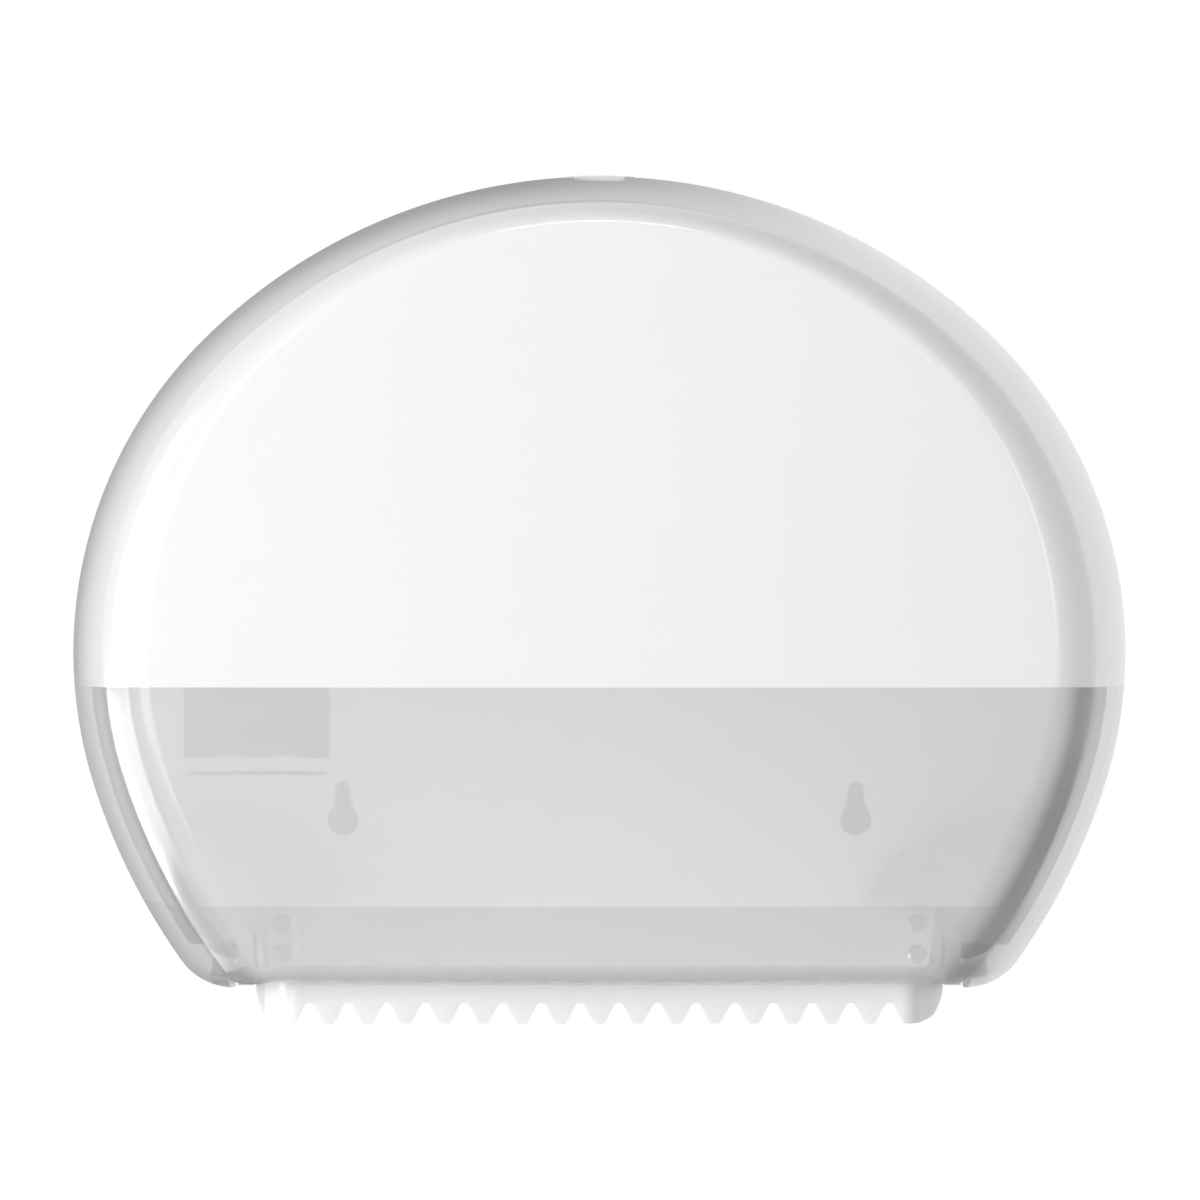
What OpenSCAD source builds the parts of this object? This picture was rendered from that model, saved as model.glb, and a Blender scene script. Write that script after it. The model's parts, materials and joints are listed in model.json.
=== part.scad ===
// Wall dispenser for one jumbo toilet roll.
// A domed cover hinges at its bottom rear edge in front of a ribbed back plate,
// which carries the roll spindle, the push latch and the serrated paper chute.
// X runs to the right, Y into the wall and Z up. The wall is the plane y = 0,
// and the axis of the roll spindle meets it at the origin.

/* [Cover outline] */
// Overall width of the cover at its rear rim
cover_w = 345; // [344.5:0.1:346]
// Height of the top of the rim above the spindle axis
rim_top = 109; // [108:0.5:110]
// Depth of the bottom of the rim below the spindle axis
rim_bottom = 156.6; // [156:0.1:157.5]
// Radius of the crown arc
crown_r = 184.3; // [183:0.1:186]
// Radius of the two shoulder arcs
shoulder_r = 144.3; // [143:0.1:145]
// Radius of the two flank arcs
flank_r = 206.4; // [204:0.1:209]
// Radius of the two bottom corners of the rim
corner_r = 20.9; // [20:0.1:22]
// Angle above the horizontal where the crown meets a shoulder
crown_end = 45.2; // [44:0.1:46]
// Angle below the horizontal where a shoulder meets a flank
shoulder_end = 17.6; // [17:0.1:18.5]

/* [Cover form] */
// Distance from the wall to the front of the cover
cover_depth = 132; // [128:1:136]
// Distance from the wall to the rear edge of the cover
rim_d = 3; // [2.5:0.5:4]
// How far the front face falls back at its side edges
face_bulge = 11; // [6:1:14]
// Depth of the rounded edge between the skirt and the front face
roll_over = 16; // [12:1:18]
// Inset of the crease at the sides
crease_side = 14.5; // [12:0.5:16]
// Inset of the crease at the top
crease_top = 11.5; // [10:0.5:14]
// Inset of the crease at the bottom
crease_bottom = 4; // [3.5:0.5:6]
// Wall thickness of the cover
cover_wall = 2.6; // [2.2:0.1:3]
// Height of the line between the white shell and the window, below the axis
split_drop = 57.8; // [50:0.1:64]

/* [Back plate] */
// Inset of the plate from the cover rim
plate_inset = 6; // [5.5:0.5:8]
// Distance from the wall to the front of the plate
plate_d = 8; // [7:0.5:9]
// Thickness of the plate
plate_t = 2.5; // [2:0.1:3]
// Distance from the wall to the front edge of the plate's flange
flange_d = 22; // [14:1:24]
// Distance between the keyholes, side to side
keyhole_dx = 168.4; // [160:0.1:176]
// Distance between the keyhole heads, upper to lower
keyhole_dz = 156; // [140:1:158]
// Radius of the keyhole heads, which let the head of a wall screw through
keyhole_r = 5.25; // [5:0.05:5.6]
// Width of the keyhole slots
keyhole_slot_w = 5.9; // [5:0.1:6]
// Depth of the lower keyhole heads below the axis
keyhole_drop = 102; // [100:0.5:104]

/* [Paper chute] */
// Distance from the wall to the front of the tear bar
chute_d = 98; // [90:1:99]
// Half width of the chute at the tear bar
chute_front_hw = 101.5; // [98:0.5:102]
// Half width of the chute at the back plate
chute_rear_hw = 112.6; // [110:0.1:112.8]
// Height of the chute's top edge, below the axis
chute_top = 131; // [128:0.5:134]
// Height of the tooth tips, below the axis
tooth_tip = 165.8; // [163:0.1:166]
// Height of a tooth
tooth_h = 6.6; // [5:0.1:7]
// Distance from tooth to tooth
tooth_pitch = 12.4; // [11:0.1:12.5]

/* [Hidden] */

white = [0.95, 0.95, 0.94];
clear_grey = [0.72, 0.74, 0.75, 0.55];
steel = [0.72, 0.73, 0.75];
nylon = [0.88, 0.87, 0.82];
felt = [0.35, 0.36, 0.38];
overshoot = 0.1; // overlap that joins two forms of one part

// Outline of the cover: centres of its tangent arcs, as [x, z]
crown_c = [0, rim_top - crown_r];
shoulder_c = crown_c + (crown_r - shoulder_r) * [cos(crown_end), sin(crown_end)];
flank_c = shoulder_c - (flank_r - shoulder_r) * [cos(shoulder_end), -sin(shoulder_end)];
face_c = [0, -25];     // point that the rings of the front face close in on

// Rounded edge of the front face: insets of its inner end, and corner radii
edge_side = 29;
edge_top = 19.5;
edge_bottom = 11;
crease_corner_r = 11;
edge_corner_r = 7;
face_half_w = 143;
skirt_power = 1.7;
skirt_steps = [0, 0.16, 0.36, 0.56, 0.76, 0.9, 1];
edge_steps = [18, 36, 54, 72, 90];
face_steps = [0.75, 0.5, 0.25];

function mix(a, b, t) = a + (b - a) * t;
function face_d(x) = cover_depth - face_bulge * pow(x / face_half_w, 2);

// Points of one arc, drawn clockwise. top is the extra inset that it reaches at the crown.
function arc(c, r, from, to, n, top = 0) =
    [for (i = [0:n - 1])
        let (a = mix(from, to, i / n), r_here = r - top * pow(max(0, sin(a)), 2))
        c + r_here * [cos(a), sin(a)]];

// Centre of a bottom corner of radius r, tangent to the flank and the bottom
function corner_c(side, bottom, r) =
    let (z = -rim_bottom + bottom + r, reach = flank_r - side - r)
    [flank_c[0] + sqrt(pow(reach, 2) - pow(z - flank_c[1], 2)), z];

// Right half of the outline, from the top to the middle of the bottom edge
function half_outline(side, top, bottom, r) =
    let (c = corner_c(side, bottom, r), turn = atan2(c[1] - flank_c[1], c[0] - flank_c[0]))
    concat(arc(crown_c, crown_r - side, 90, crown_end, 9, top - side),
           arc(shoulder_c, shoulder_r - side, crown_end, -shoulder_end, 12, top - side),
           arc(flank_c, flank_r - side, -shoulder_end, turn, 6),
           arc(c, r, turn, -90, 6),
           [for (i = [0:4]) [c[0] * (1 - i / 5), -rim_bottom + bottom]],
           [[0, -rim_bottom + bottom]]);

// The whole outline, inset by different amounts at the sides, top and bottom
function outline(side, top, bottom, r) =
    let (h = half_outline(side, top, bottom, r), n = len(h))
    concat(h, [for (i = [n - 2:-1:1]) [-h[i][0], h[i][1]]]);

// Rings of the cover's surface, each point as [x, y, z]. in is the inset of the whole
// surface, which is 0 on the outside and the wall thickness on the inside.
function crease_d(x) = face_d(x) - roll_over;
function skirt_ring(f, in, rear) =
    let (s = pow(f, skirt_power), r = mix(corner_r, crease_corner_r, s) - in)
    [for (p = outline(crease_side * s + in, crease_top * s + in, crease_bottom * s + in, r))
        [p[0], -mix(rear, crease_d(p[0]) - in, f), p[1]]];
function edge_ring(a, in) =
    let (c = 1 - cos(a))
    [for (p = outline(mix(crease_side, edge_side, c) + in, mix(crease_top, edge_top, c) + in,
                      mix(crease_bottom, edge_bottom, c) + in,
                      mix(crease_corner_r, edge_corner_r, c) - in))
        [p[0], -(crease_d(p[0]) - in + roll_over * sin(a)), p[1]]];
function face_ring(k, in) =
    [for (p = edge_ring(90, in))
        let (x = p[0] * k, z = mix(face_c[1], p[2], k))
        [x, -(face_d(x) - in), z]];

// A solid that fills the cover out to the surface at the given inset
module cover_form(in, rear) {
    rings = concat([for (f = skirt_steps) skirt_ring(f, in, rear)],
                   [for (a = edge_steps) edge_ring(a, in)],
                   [for (k = face_steps) face_ring(k, in)]);
    n = len(rings[0]);
    m = len(rings);
    points = concat([for (ring = rings) each ring], [[0, -(cover_depth - in), face_c[1]]]);
    sides = [for (j = [0:m - 2], i = [0:n - 1])
        let (k = (i + 1) % n, a = j * n, b = a + n)
        each [[a + i, a + k, b + i], [a + k, b + k, b + i]]];
    tip = [for (i = [0:n - 1]) [(m - 1) * n + i, (m - 1) * n + (i + 1) % n, m * n]];
    polyhedron(points, concat([[for (i = [n - 1:-1:0]) i]], sides, tip), convexity = 6);
}

// An extrusion of an [x, z] shape between two distances from the wall
module slab(from, to) {
    translate([0, -from, 0]) rotate([90, 0, 0]) linear_extrude(to - from) children();
}

// A turned part on the spindle axis. Its profile gives radius and distance from the wall.
module turned(profile) {
    rotate([90, 0, 0]) rotate_extrude($fn = 96) polygon(profile);
}

// A round bar along Y, between two distances from the wall
module rod(r, from, to, at = [0, 0]) {
    translate([at[0], -from, at[1]]) rotate([90, 0, 0]) cylinder(r = r, h = to - from, $fn = 48);
}

// A round bar along X
module cross_rod(r, from, to, d, z) {
    translate([from, -d, z]) rotate([0, 90, 0]) cylinder(r = r, h = to - from, $fn = 48);
}

// A box given by its ends in x, its distances from the wall and its ends in z
module block(x, d, z) {
    translate([x[0], -d[1], z[0]]) cube([x[1] - x[0], d[1] - d[0], z[1] - z[0]]);
}

module both_sides() {
    children();
    mirror([1, 0, 0]) children();
}

// A pan-head screw whose head rests at a distance from the wall and points to the front
module pan_screw(shank_r, head_r, head_h, length, seat_d) {
    difference() {
        union() {
            rod(shank_r, seat_d - length, seat_d + overshoot);
            turned([[0, seat_d], [head_r, seat_d], [head_r, seat_d + head_h * 0.45],
                    [head_r * 0.72, seat_d + head_h], [0, seat_d + head_h]]);
        }
        for (a = [0, 90])
            rotate([0, a, 0])
                block([-head_r * 0.55, head_r * 0.55], [seat_d + head_h * 0.45, seat_d + head_h + 1],
                      [-head_r * 0.12, head_r * 0.12]);
    }
}

/* ---- Back plate ---- */

rib_t = 1.6;
boss_r = 9.5;
hub_boss_r = 30;
ear_x = [113.2, 118.4];
hinge_d = 8;
hinge_z = -151.5;
pin_r = 2;
ear_r = 4.6;
ear_top_z = -138;
corner_cut_x = 112.9;
corner_cut_z = -142.4;
lock_notch_hw = 21;
lock_notch_z = 96;
aperture_x = [-136.3, -88.4];
aperture_z = [-81.8, -38];
slit_x = [-135, -89.4];
slit_z = [-87.4, -86];
flange_t = 2.4;
tab_x = [[-125.2, -117], [-108.1, -99.3]];
tab_h = 1;

module plate_outline(extra = 0) {
    in = plate_inset + extra;
    polygon(outline(in, in, in, corner_r - in));
}

module keyhole() {
    slot_top = 9.4;
    circle(r = keyhole_r, $fn = 64);
    translate([0, slot_top - keyhole_slot_w / 2]) circle(d = keyhole_slot_w, $fn = 48);
    translate([-keyhole_slot_w / 2, 0]) square([keyhole_slot_w, slot_top - keyhole_slot_w / 2]);
}

keyhole_at = [for (sx = [-1, 1], z = [-keyhole_drop, keyhole_dz - keyhole_drop])
    [sx * keyhole_dx / 2, z]];

lock_screw_x = 18.5;
lock_screw_z = 81;
tear_screw_x = 104;
tear_screw_z = [-136, -146];
guide_screw_at = [[108, -121], [134, -112]];
post_screw_circle_r = 17;
lock_screw_at = [for (sx = [-1, 1]) [sx * lock_screw_x, lock_screw_z]];
tear_screw_at = [for (sx = [-1, 1], z = tear_screw_z) [sx * tear_screw_x, z]];
post_screw_at = [for (a = [90, 210, 330]) post_screw_circle_r * [cos(a), sin(a)]];
pilot_r = 1.25;      // holes in the back plate for the small screws
post_pilot_r = 1.5;
screw_floor_d = 1.5; // distance from the wall to the bottom of the screw holes
rib_x = [-140, -112, -60, -30, 30, 60, 112, 140];
rib_z = [-128, -70, -28, 28, 76];

module back_ribs() {
    intersection() {
        slab(0, plate_d - plate_t + overshoot) plate_outline(flange_t / 2);
        union() {
            for (x = rib_x)
                block([x - rib_t / 2, x + rib_t / 2], [0, plate_d], [-rim_bottom, rim_top]);
            for (z = rib_z)
                block([-cover_w / 2, cover_w / 2], [0, plate_d], [z - rib_t / 2, z + rib_t / 2]);
        }
    }
}

module hinge_ear() {
    difference() {
        union() {
            cross_rod(ear_r, ear_x[0], ear_x[1], hinge_d, hinge_z);
            block(ear_x, [plate_d - plate_t, hinge_d + ear_r], [hinge_z, ear_top_z]);
        }
        cross_rod(pin_r, ear_x[0] - 1, ear_x[1] + 1, hinge_d, hinge_z);
    }
}

module back_plate() color(white) {
    difference() {
        union() {
            slab(plate_d - plate_t, plate_d) plate_outline();
            slab(0, flange_d) difference() {
                plate_outline();
                plate_outline(flange_t);
            }
            back_ribs();
            rod(hub_boss_r, 0, plate_d);
            for (p = keyhole_at) rod(boss_r, 0, plate_d, p);
        }
        for (p = keyhole_at)
            slab(-1, plate_d + 1) translate(p) keyhole();
        slab(-1, plate_d + 1) difference() {
            translate([aperture_x[0], aperture_z[0]])
                square([aperture_x[1] - aperture_x[0], aperture_z[1] - aperture_z[0]]);
            for (x = tab_x)
                translate([x[0], aperture_z[0]]) square([x[1] - x[0], tab_h]);
        }
        block(slit_x, [-1, plate_d + 1], slit_z);
        both_sides()
            block([corner_cut_x, cover_w], [-1, flange_d + 1], [-rim_bottom - 1, corner_cut_z]);
        block([-chute_rear_hw, chute_rear_hw], [plate_d, flange_d + 1], [-rim_bottom - 1, -chute_top]);
        block([-lock_notch_hw, lock_notch_hw], [plate_d, flange_d + 1], [lock_notch_z, rim_top]);
        for (p = concat(lock_screw_at, tear_screw_at)) rod(pilot_r, screw_floor_d, plate_d + 1, p);
        for (p = post_screw_at) rod(post_pilot_r, screw_floor_d, plate_d + 1, p);
        both_sides() for (p = guide_screw_at) rod(pilot_r, screw_floor_d, plate_d + 1, p);
    }
    both_sides() hinge_ear();
}

/* ---- Paper chute with its tear bar ---- */

chute_t = 2.4;
chute_turn_r = 7;      // rounding of the chute's front corners, seen from below
chute_bend_d = 72;     // distance from the wall where the cheeks turn in towards the front
chute_bend_hw = 108;
chute_front_top = 148; // height of the front wall's top edge, below the axis
cheek_slope_d = 62;    // distance from the wall where the cheeks' top edge levels out
cheek_fall_w = 12.6;   // width and height of the cheeks' fall at their lower edge
cheek_fall_h = 9.9;
tooth_tip_half = 1.5;
tooth_root_half = 1.1;
tooth_round = 0.9;
tooth_gaps = 16;
tooth_run = 3;         // how far the gaps are drawn past the tips
front_band = 12;
flap_hw = 98;          // inner ends and lower edge of the two flaps that are screwed to the plate
flap_bottom = 150;
small_clear_r = 1.7;   // clearance holes for the small screws

// Plan of the chute, inset by in, as [x, y]. It is open towards the wall.
module chute_plan(in) {
    bend = [chute_bend_hw, -chute_bend_d];
    offset(delta = -in) offset(r = chute_turn_r, $fn = 48) offset(delta = -chute_turn_r)
        polygon([[-chute_rear_hw, 20], [chute_rear_hw, 20], [chute_rear_hw, -plate_d], bend,
                 [chute_front_hw, -chute_d], [-chute_front_hw, -chute_d], [-bend[0], bend[1]],
                 [-chute_rear_hw, -plate_d]]);
}

// Front view of the chute, with the fall at the lower edge of its cheeks
module chute_front() {
    fall = [for (a = [0:7.5:90])
        [chute_rear_hw + cheek_fall_w * (cos(a) - 1), -tooth_tip + cheek_fall_h * (1 - sin(a))]];
    n = len(fall);
    polygon(concat([[chute_rear_hw, -chute_top]], fall,
                   [for (i = [n - 1:-1:0]) [-fall[i][0], fall[i][1]]], [[-chute_rear_hw, -chute_top]]));
}

// Front view of the band along the front, with its row of rounded teeth
module tooth_row() {
    step = tooth_pitch / 2;
    offset(r = tooth_round, $fn = 16) offset(r = -2 * tooth_round, $fn = 16)
        offset(delta = tooth_round) difference() {
            translate([-cover_w / 2, -tooth_tip]) square([cover_w, tooth_tip - chute_top]);
            for (i = [0:tooth_gaps - 1])
                translate([(i - (tooth_gaps - 1) / 2) * tooth_pitch, -tooth_tip])
                    polygon([[-step + tooth_tip_half, -tooth_run], [-step + tooth_tip_half, 0],
                             [-tooth_root_half, tooth_h], [tooth_root_half, tooth_h],
                             [step - tooth_tip_half, 0], [step - tooth_tip_half, -tooth_run]]);
        }
}

// Side view of the chute, as [y, z]. Its front wall is low, and the cheeks rise to the plate.
module chute_side()
    polygon([[-plate_d, -tooth_tip], [-chute_d, -tooth_tip], [-chute_d, -chute_front_top],
             [-cheek_slope_d, -chute_front_top], [-plate_d, -chute_top]]);

module tear_bar() color(white) {
    difference() {
        intersection() {
            translate([0, 0, -tooth_tip]) linear_extrude(tooth_tip - chute_top) difference() {
                chute_plan(0);
                chute_plan(chute_t);
            }
            translate([-cover_w / 2, 0, 0]) rotate([90, 0, 90]) linear_extrude(cover_w) chute_side();
            slab(plate_d, chute_d) chute_front();
        }
        slab(chute_d - front_band, chute_d + 1) difference() {
            translate([-cover_w / 2, -tooth_tip - 1]) square([cover_w, tooth_h + tooth_run]);
            tooth_row();
        }
    }
    both_sides() difference() {
        block([flap_hw, chute_rear_hw - chute_t / 2], [plate_d, plate_d + chute_t],
              [-flap_bottom, -chute_top]);
        for (p = tear_screw_at) if (p[0] > 0) rod(small_clear_r, plate_d - 1, plate_d + 4, p);
    }
}

module tear_bar_screws() color(steel)
    for (p = tear_screw_at)
        translate([p[0], 0, p[1]]) pan_screw(pilot_r, 3, 1.8, 6.8, plate_d + chute_t);

/* ---- Corner guides ---- */

guide_c = [144.2, -130];
guide_a = 59;
guide_b = 34.5;
guide_t = 2;
guide_d = 52;
guide_end = 84;
guide_steps = 14;

function guide_curve(in) =
    [for (i = [0:guide_steps])
        let (a = mix(180, guide_end, i / guide_steps))
        [guide_c[0] + (guide_a - in) * cos(a), guide_c[1] + (guide_b - in) * sin(a)]];

module guide_right() color(white) {
    outer = guide_curve(0);
    inner = guide_curve(guide_t);
    tail = outer[guide_steps];
    difference() {
        union() {
            slab(plate_d, guide_d)
                polygon(concat(outer, [for (i = [guide_steps:-1:0]) inner[i]]));
            slab(plate_d, plate_d + guide_t)
                polygon(concat(outer, [[tail[0], tail[1] - 6], [tail[0] - 17, guide_c[1] + 0.5], outer[0]]));
        }
        for (p = guide_screw_at) rod(small_clear_r, plate_d - 1, plate_d + 3, p);
    }
}

module guide_left() mirror([1, 0, 0]) guide_right();

module guide_screws() color(steel)
    both_sides() for (p = guide_screw_at)
        translate([p[0], 0, p[1]]) pan_screw(pilot_r, 3, 1.8, 6.4, plate_d + guide_t);

/* ---- Cover hinge ---- */

pin_x = [112.9, 123.6];
lug_x = [119.6, 126.6];
lug_r = 4.2;
lug_reach = 34;
pin_play = 0.05;

module hinge_pins() color(steel)
    both_sides() cross_rod(pin_r, pin_x[0], pin_x[1], hinge_d, hinge_z);

module hinge_lug_right() color(clear_grey)
    difference() {
        union() {
            cross_rod(lug_r, lug_x[0], lug_x[1], hinge_d, hinge_z);
            translate([lug_x[0], 0, 0]) rotate([90, 0, 90]) linear_extrude(lug_x[1] - lug_x[0])
                polygon([[-hinge_d, hinge_z - lug_r + 0.6], [-hinge_d - lug_reach, hinge_z - lug_r + 2.4],
                         [-hinge_d - lug_reach, hinge_z - 0.6], [-hinge_d, hinge_z + lug_r]]);
        }
        cross_rod(pin_r + pin_play, lug_x[0] - 1, lug_x[1] + 1, hinge_d, hinge_z);
    }

module hinge_lug_left() mirror([1, 0, 0]) hinge_lug_right();

/* ---- Cover ---- */

cutout_hw = 119.2;
cutout_d = 102;
button_slot_hw = 12.3;
button_slot_d = 20.2;
lap_h = 7;
lap_t = 1.4;
lap_play = 0.1;
far = 400;

module cover_skin() {
    difference() {
        cover_form(0, rim_d);
        cover_form(cover_wall, rim_d - 2);
        block([-cutout_hw, cutout_hw], [-1, cutout_d], [-rim_bottom - 1, -136]);
        block([-button_slot_hw, button_slot_hw], [-1, button_slot_d], [90, rim_top + 1]);
    }
}

keeper_x = [14.8, 18.6];
keeper_d = [10.8, 13.2];
keeper_z = 99.7;

module cover_shell() color(white)
    resize([cover_w, 0, 0]) {
            difference() {
                cover_skin();
                block([-far, far], [-1, far], [-far, -split_drop]);
            }
            both_sides() intersection() {
                block(keeper_x, keeper_d, [keeper_z, rim_top]);
                cover_form(cover_wall / 2, rim_d);
            }
        }

// Thin lip of the window that laps behind the white shell, clear of the plate's flange
module window_lap() {
    difference() {
        intersection() {
            union() {
                cover_form(cover_wall + lap_play, rim_d);
                intersection() {
                    cover_form(cover_wall / 2, rim_d);
                    block([-far, far], [-1, far], [-far, -split_drop]);
                }
            }
            block([-far, far], [flange_d + 4, far], [-split_drop - lap_h / 2, lap_h - split_drop]);
        }
        cover_form(cover_wall + lap_play + lap_t, rim_d);
    }
}

module cover_window() color(clear_grey)
    resize([0, 0, rim_bottom - split_drop + lap_h]) {
        intersection() {
            cover_skin();
            block([-far, far], [-1, far], [-far, -split_drop]);
        }
        window_lap();
    }

/* ---- Push latch at the top ---- */

latch_d = 14.2;
housing_x = 14;
housing_z = [70, 91.5];
housing_d = 20.5;
cavity_x = 8.5;
cavity_d = [10, 18.6];
cavity_floor = 73;
lock_flange_hw = 22.5;
lock_flange_t = 2.4;
lock_flange_z = [75, 87];
stem_gap = 0.3;
stem_bottom = 80;
stop_z = [84, 87];
stop_x = 10.2;
head_z = 101.2;
head_hw = 11.7;
head_hd = 4.3;
wing_x = 18.6;
wing_z = [95.6, 99.3];
wing_d = [14, 18.3];
pocket_r = 4;
pocket_top = 85;
spring_r = 3;
spring_wire_r = 0.45;
spring_turns = 6;

module lock_housing() color(white) {
    difference() {
        union() {
            block([-housing_x, housing_x], [plate_d, housing_d], housing_z);
            block([-lock_flange_hw, lock_flange_hw], [plate_d, plate_d + lock_flange_t], lock_flange_z);
        }
        block([-cavity_x, cavity_x], cavity_d, [cavity_floor, housing_z[1] + 1]);
        block([-stop_x - stem_gap, stop_x + stem_gap], [12, 16.5],
              [stop_z[0] - 3.2 - 1, stop_z[1] + stem_gap]);
        for (p = lock_screw_at) rod(small_clear_r, plate_d - 1, plate_d + 4, p);
    }
    translate([0, -latch_d, cavity_floor]) cylinder(r = 2.2, h = 4, $fn = 48);
}

module lock_screws() color(steel)
    for (p = lock_screw_at)
        translate([p[0], 0, p[1]]) pan_screw(pilot_r, 3, 1.8, 6.8, plate_d + lock_flange_t);

module latch_button() color(white)
    {
        difference() {
            union() {
                block([-cavity_x + stem_gap, cavity_x - stem_gap],
                      [cavity_d[0] + stem_gap, cavity_d[1] - stem_gap], [stem_bottom, head_z]);
                block([-stop_x, stop_x], [12.3, 16.2], stop_z);
                block([-wing_x, wing_x], wing_d, wing_z);
            }
            translate([0, -latch_d, stem_bottom - 1])
                cylinder(r = pocket_r, h = pocket_top - stem_bottom + 1, $fn = 48);
        }
        // The head is rounded at its ends, and its top follows the crown of the cover
        difference() {
            intersection() {
                translate([0, -latch_d, head_z]) linear_extrude(rim_top - head_z + 1) {
                    square([(head_hw - head_hd) * 2, head_hd * 2], center = true);
                    for (s = [-1, 1]) translate([s * (head_hw - head_hd), 0]) circle(r = head_hd, $fn = 48);
                }
                rod(crown_r - 0.1, 0, 40, crown_c);
            }
            translate([-3, -latch_d - 0.6, rim_top - 1.6]) cube([6, 1.2, 3]);
        }
    }

// Points of the latch spring: circles of wire carried along a helix
module latch_spring() color(steel) {
    around = 6;
    per_turn = 14;
    steps = spring_turns * per_turn;
    rise = pocket_top - cavity_floor - spring_wire_r * 2;
    points = [for (i = [0:steps], k = [0:around - 1])
        let (a = 360 * i / per_turn, b = 360 * k / around, r = spring_r + spring_wire_r * cos(b))
        [r * cos(a), r * sin(a), rise * i / steps + spring_wire_r * sin(b)]];
    skin = [for (i = [0:steps - 1], k = [0:around - 1])
        let (k2 = (k + 1) % around, a = i * around, b = a + around)
        each [[a + k, a + k2, b + k], [b + k, a + k2, b + k2]]];
    translate([0, -latch_d, cavity_floor + spring_wire_r])
        polyhedron(points, concat([[for (k = [around - 1:-1:0]) k]], skin,
                                  [[for (k = [0:around - 1]) steps * around + k]]));
}

/* ---- Roll spindle ---- */

post_r = 7;
post_flange_r = 24;
post_base_d = 11;
post_end_d = 98.6;
spring_d = 14.6;
pad_d = 17.6;
hub_from = 17.9;
hub_to = 98.3;
hub_r = 12;
bush_r = 9;
bush_len = 14;
fin_r = 22;
disc_r = 36;
cap_from = 94;
cap_to = 106;
washer_r = 11.2;
fit_gap = 0.02;

module spindle_post() color(nylon)
    difference() {
        turned([[0, plate_d], [post_flange_r, plate_d], [post_flange_r, post_base_d],
                [post_r, post_base_d], [post_r, post_end_d], [0, post_end_d]]);
        for (p = post_screw_at) rod(1.9, plate_d - 1, post_base_d + 1, p);
        rod(1.6, 80, post_end_d + 1);
    }

module post_screws() color(steel)
    for (p = post_screw_at)
        translate([p[0], 0, p[1]]) pan_screw(1.5, 2.6, 0.9, 8, post_base_d);

module brake_spring() color(steel)
    turned([[post_r + 1, spring_d - 1.2], [post_r + 1, spring_d], [13.5, post_base_d + 1.2],
            [13.5, post_base_d]]);

module brake_pad() color(felt)
    turned([[post_r + 0.3, spring_d], [20, spring_d], [20, pad_d], [post_r + 0.3, pad_d]]);

module spindle_hub() color(white) {
    turned([[bush_r, hub_from], [disc_r - 1, hub_from], [disc_r, hub_from + 1],
            [disc_r, hub_from + 2], [disc_r - 1, hub_from + 3], [hub_r + 3, hub_from + 3],
            [hub_r, hub_from + 6], [hub_r, hub_to], [bush_r, hub_to], [bush_r, hub_to - bush_len],
            [bush_r + 0.6, hub_to - bush_len], [bush_r + 0.6, hub_from + bush_len],
            [bush_r, hub_from + bush_len]]);
    for (a = [0:90:270])
        rotate([0, a, 0]) translate([0, 0, -1.5]) linear_extrude(3)
            polygon([[hub_r - 1, -hub_from - 1], [fin_r, -hub_from - 1], [fin_r, -cap_from + 12],
                     [fin_r - 5, -cap_from], [hub_r - 1, -cap_from]]);
}

module hub_bushes() color(nylon)
    for (d = [hub_from, hub_to - bush_len])
        turned([[post_r + pin_play, d], [bush_r, d], [bush_r, d + bush_len],
                [post_r + pin_play, d + bush_len]]);

module retaining_washer() color(steel)
    turned([
        [1.6, post_end_d],
        [washer_r, post_end_d],
        [washer_r, post_end_d + 1.4],
        [1.6, post_end_d + 1.4]
    ]);

module end_screw() color(steel) pan_screw(1.6, 3.4, 2.2, 14, post_end_d + 1.4);

module hub_cap() color(white)
    turned([[hub_r + fit_gap, cap_from], [hub_r + 3, cap_from], [hub_r + 3, cap_to - 3], [hub_r, cap_to],
            [0, cap_to], [0, cap_to - 1.8], [hub_r + fit_gap, cap_to - 1.8]]);

back_plate();
tear_bar();
guide_left();
guide_right();
guide_screws();
tear_bar_screws();
hinge_pins();
lock_housing();
lock_screws();
latch_spring();
latch_button();
spindle_post();
post_screws();
brake_spring();
brake_pad();
spindle_hub();
hub_bushes();
retaining_washer();
end_screw();
hub_cap();
cover_shell();
cover_window();
hinge_lug_left();
hinge_lug_right();
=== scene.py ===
# Wall dispenser for one jumbo toilet roll: the visual model and its studio.
# Lengths are in metres, X runs right, Y into the wall and Z up. The wall is y = 0.
import json
import math

import bmesh
import bpy
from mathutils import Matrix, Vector


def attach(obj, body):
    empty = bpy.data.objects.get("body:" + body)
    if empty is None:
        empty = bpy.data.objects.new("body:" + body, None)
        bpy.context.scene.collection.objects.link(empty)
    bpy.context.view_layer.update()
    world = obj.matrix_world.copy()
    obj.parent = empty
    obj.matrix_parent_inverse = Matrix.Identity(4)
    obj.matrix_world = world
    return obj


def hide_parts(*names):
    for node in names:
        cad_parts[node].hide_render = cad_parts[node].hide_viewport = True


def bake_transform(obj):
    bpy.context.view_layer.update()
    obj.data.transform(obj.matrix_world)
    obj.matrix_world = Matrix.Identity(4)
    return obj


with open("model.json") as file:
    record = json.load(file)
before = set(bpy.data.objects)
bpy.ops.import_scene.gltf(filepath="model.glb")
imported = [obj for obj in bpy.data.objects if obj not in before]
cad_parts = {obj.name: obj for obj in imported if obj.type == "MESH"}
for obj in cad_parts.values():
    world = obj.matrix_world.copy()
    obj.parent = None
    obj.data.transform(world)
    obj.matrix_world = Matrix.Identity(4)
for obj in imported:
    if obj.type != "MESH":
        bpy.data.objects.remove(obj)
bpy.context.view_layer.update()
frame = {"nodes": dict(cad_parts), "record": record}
MM = 0.001

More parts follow.
